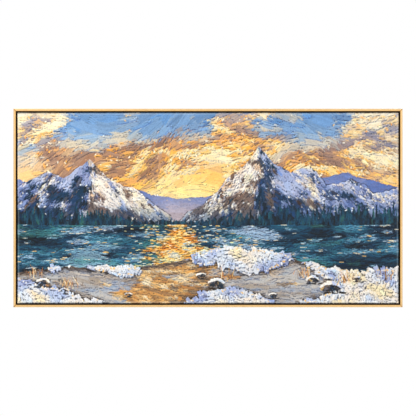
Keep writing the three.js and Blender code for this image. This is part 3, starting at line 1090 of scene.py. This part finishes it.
def shore(x, z):
    """Snow banks at the water's edge, and wet sand with gold lying on it in front."""
    below = near_shore(x) - z
    tone = ramp(
        0.5 + 0.62 * rough(x * 0.6, z * 1.7, 64, 4, 60, 0.6),
        "#7B6248", "#9C8B79", "#A8A5A4", "#C4BCB0", "#A9B2BE",
    )
    sheen = rough(x * 0.42, z * 2.0, 56, 4, 66, 0.6) + 0.6 * bump_at(x, -140, 170)
    gold = ramp(0.5 + 0.8 * lumps(x * 0.6, z * 2.2, 18, 68), "#7B6248", "#B5773A", "#E2A858", CREAM)
    tone = blend(tone, gold, 0.9 * ease(sheen, 0.3, 0.4) * ease(below, 5, 20))
    wet = ease(rough(x * 0.35, z * 2.2, 44, 3, 86, 0.6), 0.12, 0.3)
    tone = blend(tone, "#8C9CB4", 0.7 * wet * (1 - ease(sheen, 0.3, 0.4)))
    tone = blend(tone, "#3B2C24", 0.8 * bump_at(below, 5, 8))
    torn = rough(x, z, 26, 3, 74, 0.6)
    width = 22 + 86 * rough(x, 0 * x, 170, 3, 76, 0.6)
    width = width + 26 * bump_at(x, 330, 150) - 50 * bump_at(x, -140, 80)
    bank = width + 13 * torn - below
    corner = 78 - 0.30 * (x + HALF_W) - (z + HALF_H) + 16 * torn
    drift = 104 - 0.34 * (HALF_W - x) - (z + HALF_H) + 18 * torn
    middle = 40 - 0.0021 * (x - 70) ** 2 - (z + HALF_H) + 14 * torn
    snow_line = np.maximum.reduce([bank, corner, drift, middle])
    snowy = snow_line > 0
    under = ease(snow_line, -15, -2) * (1 - snowy)
    tone = blend(tone, mixed(x, z, 14, 78, "#1C1A1E", "#3A2F2A", "#6B5138"), 0.9 * under)
    flakes = ramp(
        0.28 + 0.5 * lumps(x + z, z - x * 0.5, 40, 72) + 0.42 * ease(snow_line, 0, 34),
        "#8492C0", "#A9B6DA", ICE, CHALK, LINEN, CREAM,
    )
    edge = ease(snow_line, 26, 0)
    flakes = blend(flakes, "#9AA3BE", 0.45 * edge * (0.5 + 0.5 * lumps(x, z, 12, 79)))
    return blend(tone, flakes, snowy.astype(float)), snowy


# %% The colour wanted at every place, and which part of the picture it belongs to
def compose(x, z):
    """The wanted colours and the number of the part at each place."""
    wanted, part = sky(x, z), np.zeros(x.shape, int)
    left, right = outline(x, LEFT_MASSIF, 13, 46, 11), outline(x, RIGHT_MASSIF, 14, 40, 5)
    ground, snowy = shore(x, z)
    layers = (
        (z < outline(x, FAR_RANGE, 11, 60, 3), far_range(x, z), 1),
        (z < left, snow_slopes(x, z, LEFT_PEAK, left, 90, 1), 2),
        (z < right, snow_slopes(x, z, RIGHT_PEAK, right, 100, -1), 2),
        (z < tree_tops(x), forest(x, z), 3), (z < far_shore(x), lake(x, z), 4),
        (z < near_shore(x), ground, 5), ((z < near_shore(x)) & snowy, ground, 6),
    )
    for inside, tone, number in layers:
        wanted[inside] = tone[inside]
        part[inside] = number
    return wanted.clip(0, 1), part


wanted, part = compose(X, Z)
print("parts of the picture:", np.bincount(part.ravel()))

# %% [markdown]
# ### One stroke of the knife
#
# A knife lays a flat slab. It is even in the middle, a little ploughed along its length, and
# it stands up in a lip along both sides and, highest, where the knife leaves the canvas. Its
# sides are clean and its ends torn. Two colours that lie together on the blade come off as
# streaks. A nearly empty knife skips, and what lies below shows through.

# %% Lay a stroke on the grid
MOST = 4.5  # thickest paint, so that it stays behind the frame's lip
GROUND = 0.3
LINES = 49  # streaks across a blade
HALF_BLADE = (LINES - 2) / 2
ROAM = 64  # places by which a stroke's grit may be shifted
SIDE_LIP, END_LIP, PLOUGHED = 0.5, 0.7, 0.16  # heights, as shares of a stroke's load
LEFT_BELOW = 0.4  # share of the paint below that a stroke doesn't scrape away

colour = wanted * 0.75
thick = np.full(X.shape, GROUND)
STREAKS = hand.uniform(-1, 1, (96, LINES))
STREAKS = (STREAKS + np.roll(STREAKS, 1, axis=1)) / 1.5
GRIT = hand.uniform(-1, 1, (ROWS + 1 + ROAM, COLUMNS + 1 + ROAM))
GRIT = (GRIT + np.roll(GRIT, 1, axis=0) + np.roll(GRIT, 1, axis=1)) / 2


def lay(x, z, angle, length, width, first, second, load, dry=0.0, bend=0.0, torn=0.25, within=None):
    """One pull of a knife: its middle, direction, size, two colours and load of paint."""
    c, s = math.cos(angle), math.sin(angle)
    reach_x = 0.62 * (abs(c) * length + abs(s) * width * (1 + abs(bend))) + 2
    reach_z = 0.62 * (abs(s) * length + abs(c) * width * (1 + abs(bend))) + 2
    i0, i1 = np.searchsorted(x_line, (x - reach_x, x + reach_x))
    j0, j1 = np.searchsorted(z_line, (z - reach_z, z + reach_z))
    if i1 - i0 < 2 or j1 - j0 < 2:
        return
    here = (slice(j0, j1), slice(i0, i1))
    dx, dz = x_line[None, i0:i1] - x, z_line[j0:j1, None] - z
    along = (dx * c + dz * s) / (length / 2)
    across = (dz * c - dx * s) / (width / 2) + bend * along * along
    at = (across * HALF_BLADE + HALF_BLADE).clip(0, 2 * HALF_BLADE)
    k = at.astype(int)
    rows = STREAKS[hand.integers(len(STREAKS), size=3)]
    plough, mixed, tear = (r[k] * (1 - at + k) + r[k + 1] * (at - k) for r in rows)
    oz, ox = hand.integers(ROAM, size=2)
    grit = GRIT[oz + j0 : oz + j1, ox + i0 : ox + i1]
    side = (1 - abs(across)) * width / 2 + 0.5 * grit
    end = (1 - abs(along) * (1 + torn * tear)) * length / 2 + 0.5 * grit
    shape = (np.minimum(side, end) / PITCH).clip(0, 1)
    if dry:
        shape = shape * (3 * (0.25 * grit + 0.9 * plough + 1.25 - dry * (1 + along))).clip(0, 1)
    if within is not None:
        shape = shape * within[here]
    share = (0.5 + 0.9 * mixed).clip(0, 1)[..., None] * 0.6
    laid = (first * (1 - share) + second * share) * (1 + 0.04 * plough[..., None])
    colour[here] += (laid - colour[here]) * shape[..., None]
    lips = SIDE_LIP * abs(across).clip(0, 1) ** 8 + END_LIP * along.clip(0, 1) ** 10
    slab = LEFT_BELOW * thick[here] + load * (0.62 + lips + PLOUGHED * plough)
    thick[here] += (slab - thick[here]) * shape


# %% [markdown]
# ### Painting
#
# Each pass walks over one part of the picture on a shaken grid of places. It lays a stroke in
# the wanted colour wherever the picture is still off by more than the pass allows. So broad
# patches stay whole, and small strokes gather where clouds, ridges and water have edges.

# %% One pass over a part
def shaken(inside, pitch):
    """Places on a shaken grid, in random order, where inside is set."""
    gx, gz = np.meshgrid(np.arange(-HALF_W, HALF_W, pitch[0]), np.arange(-HALF_H, HALF_H, pitch[1]))
    gx = gx + hand.uniform(-0.7, 0.7, gx.shape) * pitch[0]
    gz = gz + hand.uniform(-0.7, 0.7, gz.shape) * pitch[1]
    i = ((gx + HALF_W) / PITCH).astype(int).clip(0, COLUMNS)
    j = ((gz + HALF_H) / PITCH).astype(int).clip(0, ROWS)
    kept = inside[j, i]
    places = np.stack([gx[kept], gz[kept], i[kept], j[kept]], axis=1)
    hand.shuffle(places)
    return places


def off(tone, amount):
    """The tone a little lighter or darker and a little warmer or colder."""
    warmer = 0.4 * amount * hand.normal()
    return (tone * (1 + amount * hand.normal()) + (warmer, 0, -warmer)).clip(0, 1)


SHADE_TINT = np.array((0.9, 0.95, 1.08))  # shadows in thick paint are a little bluer
SHADE_X, SHADE_Z = 1.2, -2.3  # where the shaded stroke lies under the pale one
STRAY = 7  # places between a stroke's first and second colour
UNEVEN = 0.04  # how much a mixed tone differs from the wanted one
LOOSE = 0.25  # how much a stroke turns, in radians, and bends


def work(parts, pitch, lengths, widths, way, load, allow, dry=0.0, torn=0.25, shade=0.0, over=None):
    """Strokes over some parts, where the picture is off by more than allow."""
    inside = np.isin(part, parts)
    within = part >= min(parts) if over is None else over
    laid = 0
    for x, z, i, j in shaken(inside, pitch):
        i, j = int(i), int(j)
        if abs(wanted[j, i] - colour[j, i]).sum() < allow:
            continue
        i2 = int(np.clip(i + STRAY * hand.normal(), 0, COLUMNS))
        j2 = int(np.clip(j + STRAY * hand.normal(), 0, ROWS))
        first = off(wanted[j, i], UNEVEN)
        second = off(wanted[j2, i2] if inside[j2, i2] else wanted[j, i], UNEVEN)
        angle = way(x, z) + LOOSE * hand.normal()
        size = (hand.uniform(*lengths), hand.uniform(*widths))
        paint = hand.uniform(*load)
        skip = dry * hand.uniform()
        bend = LOOSE * hand.normal()
        if shade:
            dark = (first * (1 - shade) * SHADE_TINT).clip(0, 1)
            under = (x + SHADE_X, z + SHADE_Z, angle, *size, dark, dark, 0.4 * paint)
            lay(*under, skip, bend, torn, within)
        lay(x, z, angle, *size, first, second, paint, skip, bend, torn, within)
        laid += 1
    return laid


# %% Which way the knife goes
def sky_way(x, z):
    return 0.35 + 0.9 * float(lumps(x, z, 170, 4))


def slope_way(x, z):
    peak = LEFT_PEAK if x < GLOW[0] else RIGHT_PEAK
    return -math.pi / 2 + 0.8 * math.tanh((x - peak[0]) / 30)


def drift_way(x, z):
    return -0.8 + 1.1 * float(lumps(x, z, 45, 14))


def sand_way(x, z):
    return -0.08 + 0.3 * float(lumps(x, z, 120, 9))


def upright(x, z):
    return math.pi / 2


def level(x, z):
    return 0.0


# %% Lay in, then refine
ALL = part >= 0  # a stroke of the sky may run on behind the mountains
WET = part >= 4  # and one of a snow bank over the water and the sand
PASSES = (  # parts, pitch, lengths, widths, way, load, allow, dry, torn, shade, over
    ([0], (22, 13), (56, 120), (20, 38), sky_way, (0.6, 1.1), 0, 0, 0.25, 0, ALL),
    ([0], (16, 9), (24, 62), (9, 20), sky_way, (0.8, 1.6), 0.24, 0.35, 0.4, 0.1, ALL),
    ([0], (8, 6), (9, 24), (4, 8), sky_way, (1.0, 2.0), 0.33, 0.5, 0.3, 0.12, ALL),
    ([1], (12, 7), (20, 46), (7, 14), level, (0.4, 0.8), 0),
    ([1], (8, 5), (8, 20), (3, 6), level, (0.4, 0.9), 0.15, 0.3),
    ([2], (15, 11), (26, 58), (11, 22), slope_way, (0.9, 1.7), 0),
    ([2], (9, 7), (12, 32), (5, 11), slope_way, (1.1, 2.2), 0.2, 0.4, 0.3, 0.25),
    ([2], (6, 5), (6, 15), (3, 6), slope_way, (1.2, 2.4), 0.32, 0.5, 0.3, 0.25),
    ([3], (5, 4), (9, 22), (3, 6), upright, (0.5, 1.1), 0),
    ([4], (24, 7), (40, 90), (7, 12), level, (0.6, 1.2), 0),
    ([4], (12, 4), (12, 40), (3.5, 6), level, (0.9, 1.7), 0.16, 0, 0.4, 0.3),
    ([4], (7, 4), (6, 18), (2.6, 4), level, (1.0, 2.0), 0.28, 0, 0.3, 0.3),
    ([5, 6], (22, 11), (36, 84), (12, 22), sand_way, (0.6, 1.1), 0),
    ([5], (12, 6), (14, 42), (4, 9), sand_way, (0.7, 1.4), 0.16, 0.2, 0.5, 0.2),
    ([5], (7, 5), (6, 18), (3, 5), sand_way, (0.8, 1.6), 0.3, 0.3, 0.4, 0.2),
    ([6], (14, 9), (17, 36), (10, 19), drift_way, (1.7, 3.0), 0, 0.3, 0.2, 0.42, WET),
    ([6], (9, 6), (9, 22), (5, 11), drift_way, (1.9, 3.4), 0.14, 0.4, 0.2, 0.42, WET),
)
strokes = sum(work(*settings) for settings in PASSES)
print("strokes so far:", strokes)

# %% [markdown]
# ### Boulders, grass and flecks
#
# The last touches are put where they are wanted rather than where a pass finds them. A boulder
# is a few dark slabs with a lit side and a cap of snow. Dry grass is flicked upwards with the
# knife's edge. Flecks of cream and gold sit on the clouds, the ridges and the water, as when a
# loaded knife is tapped.

# %% Boulders and grass
STONE = ("#14161C", "#1C2430", "#2A2E3C", "#3A3430", PRUSSIAN)
STONE_LIT = ("#8A6E58", "#B08A66", SAND, "#6E6A74")
SNOW = (CHALK, LINEN, ICE, "#B4BEDC")


def boulder(x, z, wide, high):
    """A dome of small dark facets, lit towards the glow, with snow on top and shade below."""
    toward = 1 if x < GLOW[0] else -1
    for _ in range(7):
        dx = wide * hand.uniform(-0.5, 0.5) - toward * 0.12 * wide
        tone = off(pigment("#2A2622"), 0.1)
        lay(x + dx, z - high * 0.5, 0.12 * hand.normal(), wide * 0.34, high * 0.2, tone, tone, 0.7, 0.4)
    for _ in range(int(0.8 * wide)):
        turn, out = hand.uniform(0, 2 * math.pi), hand.uniform() ** 0.5
        dx, dz = 0.46 * wide * out * math.cos(turn), 0.46 * high * out * math.sin(turn)
        lit = toward * dx / wide + 0.6 * dz / high + 0.15 * hand.normal() > 0.2
        tone = off(pigment(hand.choice(STONE_LIT if lit else STONE)), 0.06)
        second = off(pigment(hand.choice(STONE)), 0.06)
        size = hand.uniform(0.16, 0.3) * high
        facet = (x + dx, z + dz, hand.uniform(-1.4, 1.4), 1.8 * size, size, tone, second)
        lay(*facet, hand.uniform(0.9, 1.8))
    for _ in range(int(0.42 * wide)):
        dx = hand.uniform(-0.42, 0.42) * wide
        top = z + high * (0.44 - 1.5 * (dx / wide) ** 2 + 0.05 * hand.normal())
        tone = off(pigment(hand.choice(SNOW[:2] if dx * toward > 0 else SNOW[1:])), 0.03)
        size = hand.uniform(0.14, 0.26) * high
        lay(x + dx, top, -1.6 * dx / wide + 0.2 * hand.normal(), 2.6 * size, size, tone, tone, 2.2)


for x, z, wide, high in BOULDERS:
    boulder(x, z, wide, high)

GRASS = (  # place and number of blades
    (-545, -214, 22), (-440, -250, 26), (60, -222, 20),
    (300, -214, 24), (430, -232, 30), (556, -222, 18),
)
STRAW = ("#C9742E", SAND, "#7E5A3C", CREAM, "#5A4030")
for x, z, blades in GRASS:
    for _ in range(blades):
        tone = pigment(hand.choice(STRAW))
        root = (x + 17 * hand.normal(), z + 5 * hand.normal())
        tall = hand.uniform(12, 34)
        lean = math.pi / 2 + 0.3 * hand.normal()
        blade = (root[0], root[1] + tall / 2, lean, tall, hand.uniform(2.2, 3.4), tone, tone)
        lay(*blade, 1.5, 0.4, 0.8 * hand.normal())


# %% Flecks
def flecks(count, where, sizes, codes, load, wander=3.0, stretch=1.7):
    """Small touches on random places that where, a share from 0 to 1, lets through."""
    laid = 0
    while laid < count:
        i, j = hand.integers(COLUMNS), hand.integers(ROWS)
        if hand.uniform() < where[j, i]:
            tone = off(pigment(hand.choice(codes)), 0.03)
            size = hand.uniform(*sizes)
            angle = wander * hand.normal()
            lay(x_line[i], z_line[j], angle, size * stretch, size, tone, tone, load, 0, 0, 0.5)
            laid += 1


bright = wanted.sum(axis=2) / 3
slope = np.hypot(*np.gradient(bright))
cloud_edges = (part == 0) * ease(slope, 0.015, 0.07)
crests = (part == 2) * ease(slope, 0.04, 0.12)
path = (part == 4) * np.exp(-(((X - GLOW[0]) / 110) ** 2))
ripples = (part == 4) * ease(slope, 0.04, 0.1)
bank_edges = (part == 6) * ease(slope, 0.05, 0.16)
FLECKS = (  # how many, where, sizes, pigments, load, wander, stretch
    (420, cloud_edges, (2.4, 5), [IVORY, OCHRE, "#E8953A", CREAM], 1.6),
    (260, crests, (2.4, 4.5), ["#FFF6EC", LINEN, ICE], 2.2),
    (220, path, (2.2, 4), [IVORY, LEMON, OCHRE], 1.8, 0.1, 3),
    (360, ripples, (2.2, 3.4), ["#C3D6E2", "#8FB6CB", "#E9DFC8", SAND], 1.6, 0.08, 5),
    (420, bank_edges, (2.4, 5.5), [CHALK, ICE, LINEN, SAND], 2.4),
)
for settings in FLECKS:
    flecks(*settings)

# %% [markdown]
# ### From strokes to a surface
#
# Specks of a single place are levelled first, because no knife makes them. The paint may not
# reach the frame's lip, so thick places are pressed softly under a limit. The low places beside
# thick strokes are darkened as painted shade, and the crests are lightened as painted highlight,
# which makes the impasto look deep. The paint thins towards the canvas's edges, and a faint
# paler line is painted just inside them, all round. Last, the palest colours are toned down a
# little.

# %% Settle the thickness, the painted shade and highlight, and the edges
def spread(values, reach):
    """The values averaged over a square of 2 reach + 1 places."""
    for axis in (0, 1):
        padded = np.concatenate(
            [values.take([0] * (reach + 1), axis), values, values.take([-1] * reach, axis)], axis
        )
        total = np.cumsum(padded, axis)
        count = values.shape[axis]
        upper = total.take(range(2 * reach + 1, 2 * reach + 1 + count), axis)
        values = (upper - total.take(range(count), axis)) / (2 * reach + 1)
    return values


def beside(values):
    """The four neighbours of every place, stacked."""
    return np.stack([np.roll(values, step, axis) for axis in (0, 1) for step in (-1, 1)])


SPECK = 0.1  # how much lower or higher than all its neighbours a place may be
for _ in range(2):
    around = beside(thick)
    speck = (thick < around.min(0) - SPECK) | (thick > around.max(0) + SPECK)
    thick = np.where(speck, around.mean(0), thick)
    colour = np.where(speck[..., None], beside(colour).mean(0), colour)
thick = MOST * np.tanh(thick / MOST)
from_edge = np.minimum(HALF_W - abs(X), HALF_H - abs(Z))
thick = thick * (0.35 + 0.65 * ease(from_edge, 0, 5))
# Painted shade darkens the low places beside thick strokes, and a painted highlight lightens the
# crests.
proud = (thick + spread(thick, 1)) / 2 - spread(thick, 3)
painted_hollow_shade = ease(-proud, 0.02, 0.42)[..., None]
crest = ease(proud, 0.12, 0.8)[..., None]
colour = colour * (1 - 0.6 * painted_hollow_shade)
colour = colour * (1 + 0.22 * crest)
# A faint paler line is painted just inside the canvas's edges, all round.
paler_edge_line = 0.3 * bump_at(from_edge, 3.4, 1.8)[..., None]
colour = (colour * (1 - paler_edge_line) + pigment("#E9E6E0") * paler_edge_line).clip(0, 1)
yellowed = 0.07 * ease(colour.mean(axis=2), 0.62, 0.95)[..., None]  # white in oil isn't quite white
colour = colour * (1 - yellowed)
print("thickness", thick.min().round(2), "to", thick.max().round(2), "mm")

# %% [markdown]
# ### From grid to mesh
#
# Paint is a solid film: it has a front, sides and a back that sticks to the cloth. A flat plane
# with a displacement would be quicker, but its edge would be open and its thickness a
# pretence. So a plain grid is extruded at its border and closed behind, and only then do its
# vertices move to the painter's thickness. One mesh would have too many faces to be handled
# well, so the paint is made as four bands, one under the other, which share their edge points
# and show no seam. Each vertex carries its pigment as an attribute, because the colour belongs
# to the paint and not to a pattern in space.

# %% One band of paint
# Linear values, because a colour attribute holds what the shader gets.
shown = np.ones((ROWS + 1, COLUMNS + 1, 4))
shown[..., :3] = np.where(colour <= 0.04045, colour / 12.92, ((colour + 0.055) / 1.055) ** 2.4)
shown[..., 3] = thick / MOST  # how thick the paint is there, for the weave that shows through
MARGIN = 0.006  # round the bake's map, where the paint's sides lie
STRIP = 0.04  # at its foot, where the back lies


def band_form():
    """A closed slab, one wide, one high and one thick, with the grid's cells on its front."""
    form = bmesh.new()
    bmesh.ops.create_grid(form, x_segments=COLUMNS, y_segments=BAND_ROWS, size=0.5)
    border = [e for e in form.edges if e.is_boundary]
    pulled = bmesh.ops.extrude_edge_only(form, edges=border)["geom"]
    bmesh.ops.translate(form, verts=only(bmesh.types.BMVert, pulled), vec=(0, 0, -1))
    bmesh.ops.holes_fill(form, edges=[e for e in form.edges if e.is_boundary], sides=0)
    bmesh.ops.recalc_face_normals(form, faces=form.faces)
    for edge in border:
        edge.smooth = False
    return form


def place_band(mesh, number):
    """Moves the slab's vertices to their place and gives them colours and a bake map."""
    count = len(mesh.vertices)
    at = np.empty(count * 3)
    mesh.vertices.foreach_get("co", at)
    at = at.reshape(-1, 3)
    column = np.rint((at[:, 0] + 0.5) * COLUMNS).astype(int)
    row = np.rint((at[:, 1] + 0.5) * BAND_ROWS).astype(int)
    behind = at[:, 2] < -0.5
    first_row = ROWS - (number + 1) * BAND_ROWS
    there = (row + first_row, column)
    y = np.where(behind, PAINT_BACK, PAINT_BACK - thick[there] * MM)
    placed = np.stack([x_line[column] * MM, y, MIDDLE.z + z_line[there[0]] * MM], axis=1)
    mesh.vertices.foreach_set("co", placed.ravel())
    layer = mesh.color_attributes.new(name="pigments", type="FLOAT_COLOR", domain="POINT")
    layer.data.foreach_set("color", shown[there].astype(np.float32).ravel())

    corners = np.empty(len(mesh.loops), int)
    mesh.loops.foreach_get("vertex_index", corners)
    totals = np.empty(len(mesh.polygons), int)
    mesh.polygons.foreach_get("loop_total", totals)
    on_back = np.repeat(totals > 4, totals)
    c, r, b = column[corners], row[corners], behind[corners]
    outward_u = np.where(c == 0, -1, np.where(c == COLUMNS, 1, 0)) * b
    outward_v = np.where(r == 0, -1, np.where(r == BAND_ROWS, 1, 0)) * b
    u = MARGIN + (1 - 2 * MARGIN) * c / COLUMNS + 0.8 * MARGIN * outward_u
    v = STRIP + MARGIN + (1 - STRIP - 2 * MARGIN) * r / BAND_ROWS + 0.8 * MARGIN * outward_v
    u = np.where(on_back, MARGIN + (1 - 2 * MARGIN) * c / COLUMNS, u)
    v = np.where(on_back, MARGIN / 2 + (STRIP - MARGIN) * r / BAND_ROWS, v)
    bake = mesh.uv_layers.new(name="OFBake")
    bake.data.foreach_set("uv", np.stack([u, v], axis=1).astype(np.float32).ravel())
    mesh.update()


# %% [markdown]
# ### Oil paint
#
# Oil paint is pigment in linseed oil, worked on with a steel blade. It has a soft satin shine
# that is uneven, glossier in some patches and duller in others.
# The colours come from the grid. On top, the shader mottles them at the size of ground
# pigment and half-mixed streaks, adds the blade's fine drag marks, and where the paint is thin
# the weave of the cloth shows through as a faint regular bump.

# %% Oil paint material
oil = new_material("knife_laid_oil_paint")
laid = add(oil, "Attribute", attribute_name="pigments")
where = add(oil, "TexCoord").outputs["Object"]
mottle = add(
    oil, "TexNoise",
    {"Vector": where, "Scale": 1 / (4 * MM), "Detail": 5, "Roughness": 0.6},
)
mottle_share = add(
    oil, "MapRange",
    {"Value": mottle, "From Min": 0.3, "From Max": 0.7, "To Min": 0.86, "To Max": 1.12},
)
mottled = add(oil, "VectorMath", {0: laid, "Scale": mottle_share}, operation="SCALE")
drag = add(
    oil, "TexNoise",
    {"Vector": where, "Scale": 1 / (1.3 * MM), "Detail": 4, "Roughness": 0.65},
)
weave_size = add(
    oil, "VectorMath", {0: where, 1: [2 * math.pi / (1.1 * MM)] * 3}, operation="MULTIPLY"
)
weave_place = add(oil, "SeparateXYZ", {"Vector": weave_size})
warp = add(oil, "Math", {0: weave_place.outputs["X"]}, operation="SINE")
weft = add(oil, "Math", {0: weave_place.outputs["Z"]}, operation="SINE")
threads = add(oil, "Math", {0: warp, 1: weft}, operation="MULTIPLY")
thinness = add(
    oil,
    "MapRange",
    {"Value": laid.outputs["Alpha"], "From Min": 0.08, "From Max": 0.22, "To Min": 0.3, "To Max": 0},
)
shown_threads = add(oil, "Math", {0: threads, 1: thinness, 2: drag}, operation="MULTIPLY_ADD")
oil_bump = add(oil, "Bump", {"Height": shown_threads, "Strength": 0.5, "Distance": 0.4 * MM})
shine = add(
    oil, "MapRange",
    {"Value": mottle, "From Min": 0.3, "From Max": 0.7, "To Min": 0.36, "To Max": 0.56},
)
oil_shader = add(
    oil, "BsdfPrincipled",
    {
        "Base Color": mottled, "Roughness": shine, "IOR": 1.48, "Specular IOR Level": 0.3,
        "Normal": oil_bump,
    },
)
add(oil, "OutputMaterial", {"Surface": oil_shader})
print("paint nodes:", len(oil.node_tree.nodes))

# %% Four bands of paint
for number, name in enumerate(BANDS):
    band = piece(f"paint_{name}", band_form(), [oil])
    place_band(band.data, number)
    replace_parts(band, "paint_layer")
    print(band.name, len(band.data.polygons), "faces")
